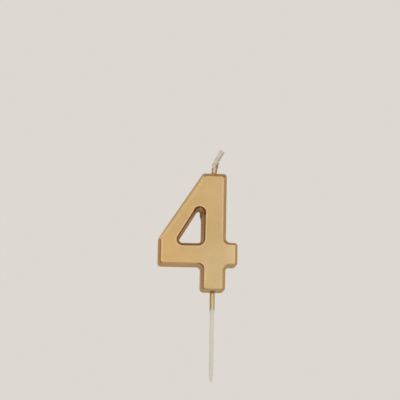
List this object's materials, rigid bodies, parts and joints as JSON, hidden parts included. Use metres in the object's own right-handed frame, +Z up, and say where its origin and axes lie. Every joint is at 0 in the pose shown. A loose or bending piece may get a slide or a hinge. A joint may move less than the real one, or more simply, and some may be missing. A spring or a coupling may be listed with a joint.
{
  "type": "number candle",
  "caption": "Gold numeral candle with bevelled front edges and a triangular hole, a leaning wick on top and a round cake pick below.",
  "frame": {"origin": "the point on the numeral's flat underside where the pick's axis leaves the wax", "axes": "+Z up along the pick and the stem, -Y out of the bevelled front, +X to the reader's right"},
  "size_m": [0.0245, 0.007, 0.0719],
  "materials": {
    "gold_lacquered_wax": "satin gold metallic lacquer over cast paraffin wax",
    "waxed_cotton": "plaited cotton stiffened with wax, gold lacquer at its root",
    "pick_plastic": "off-white moulded plastic, gold lacquer over its first 5 mm"
  },
  "bodies": {
    "root": {"number_body": "gold_lacquered_wax", "wick": "waxed_cotton", "pick": "pick_plastic"}
  },
  "joints": []
}
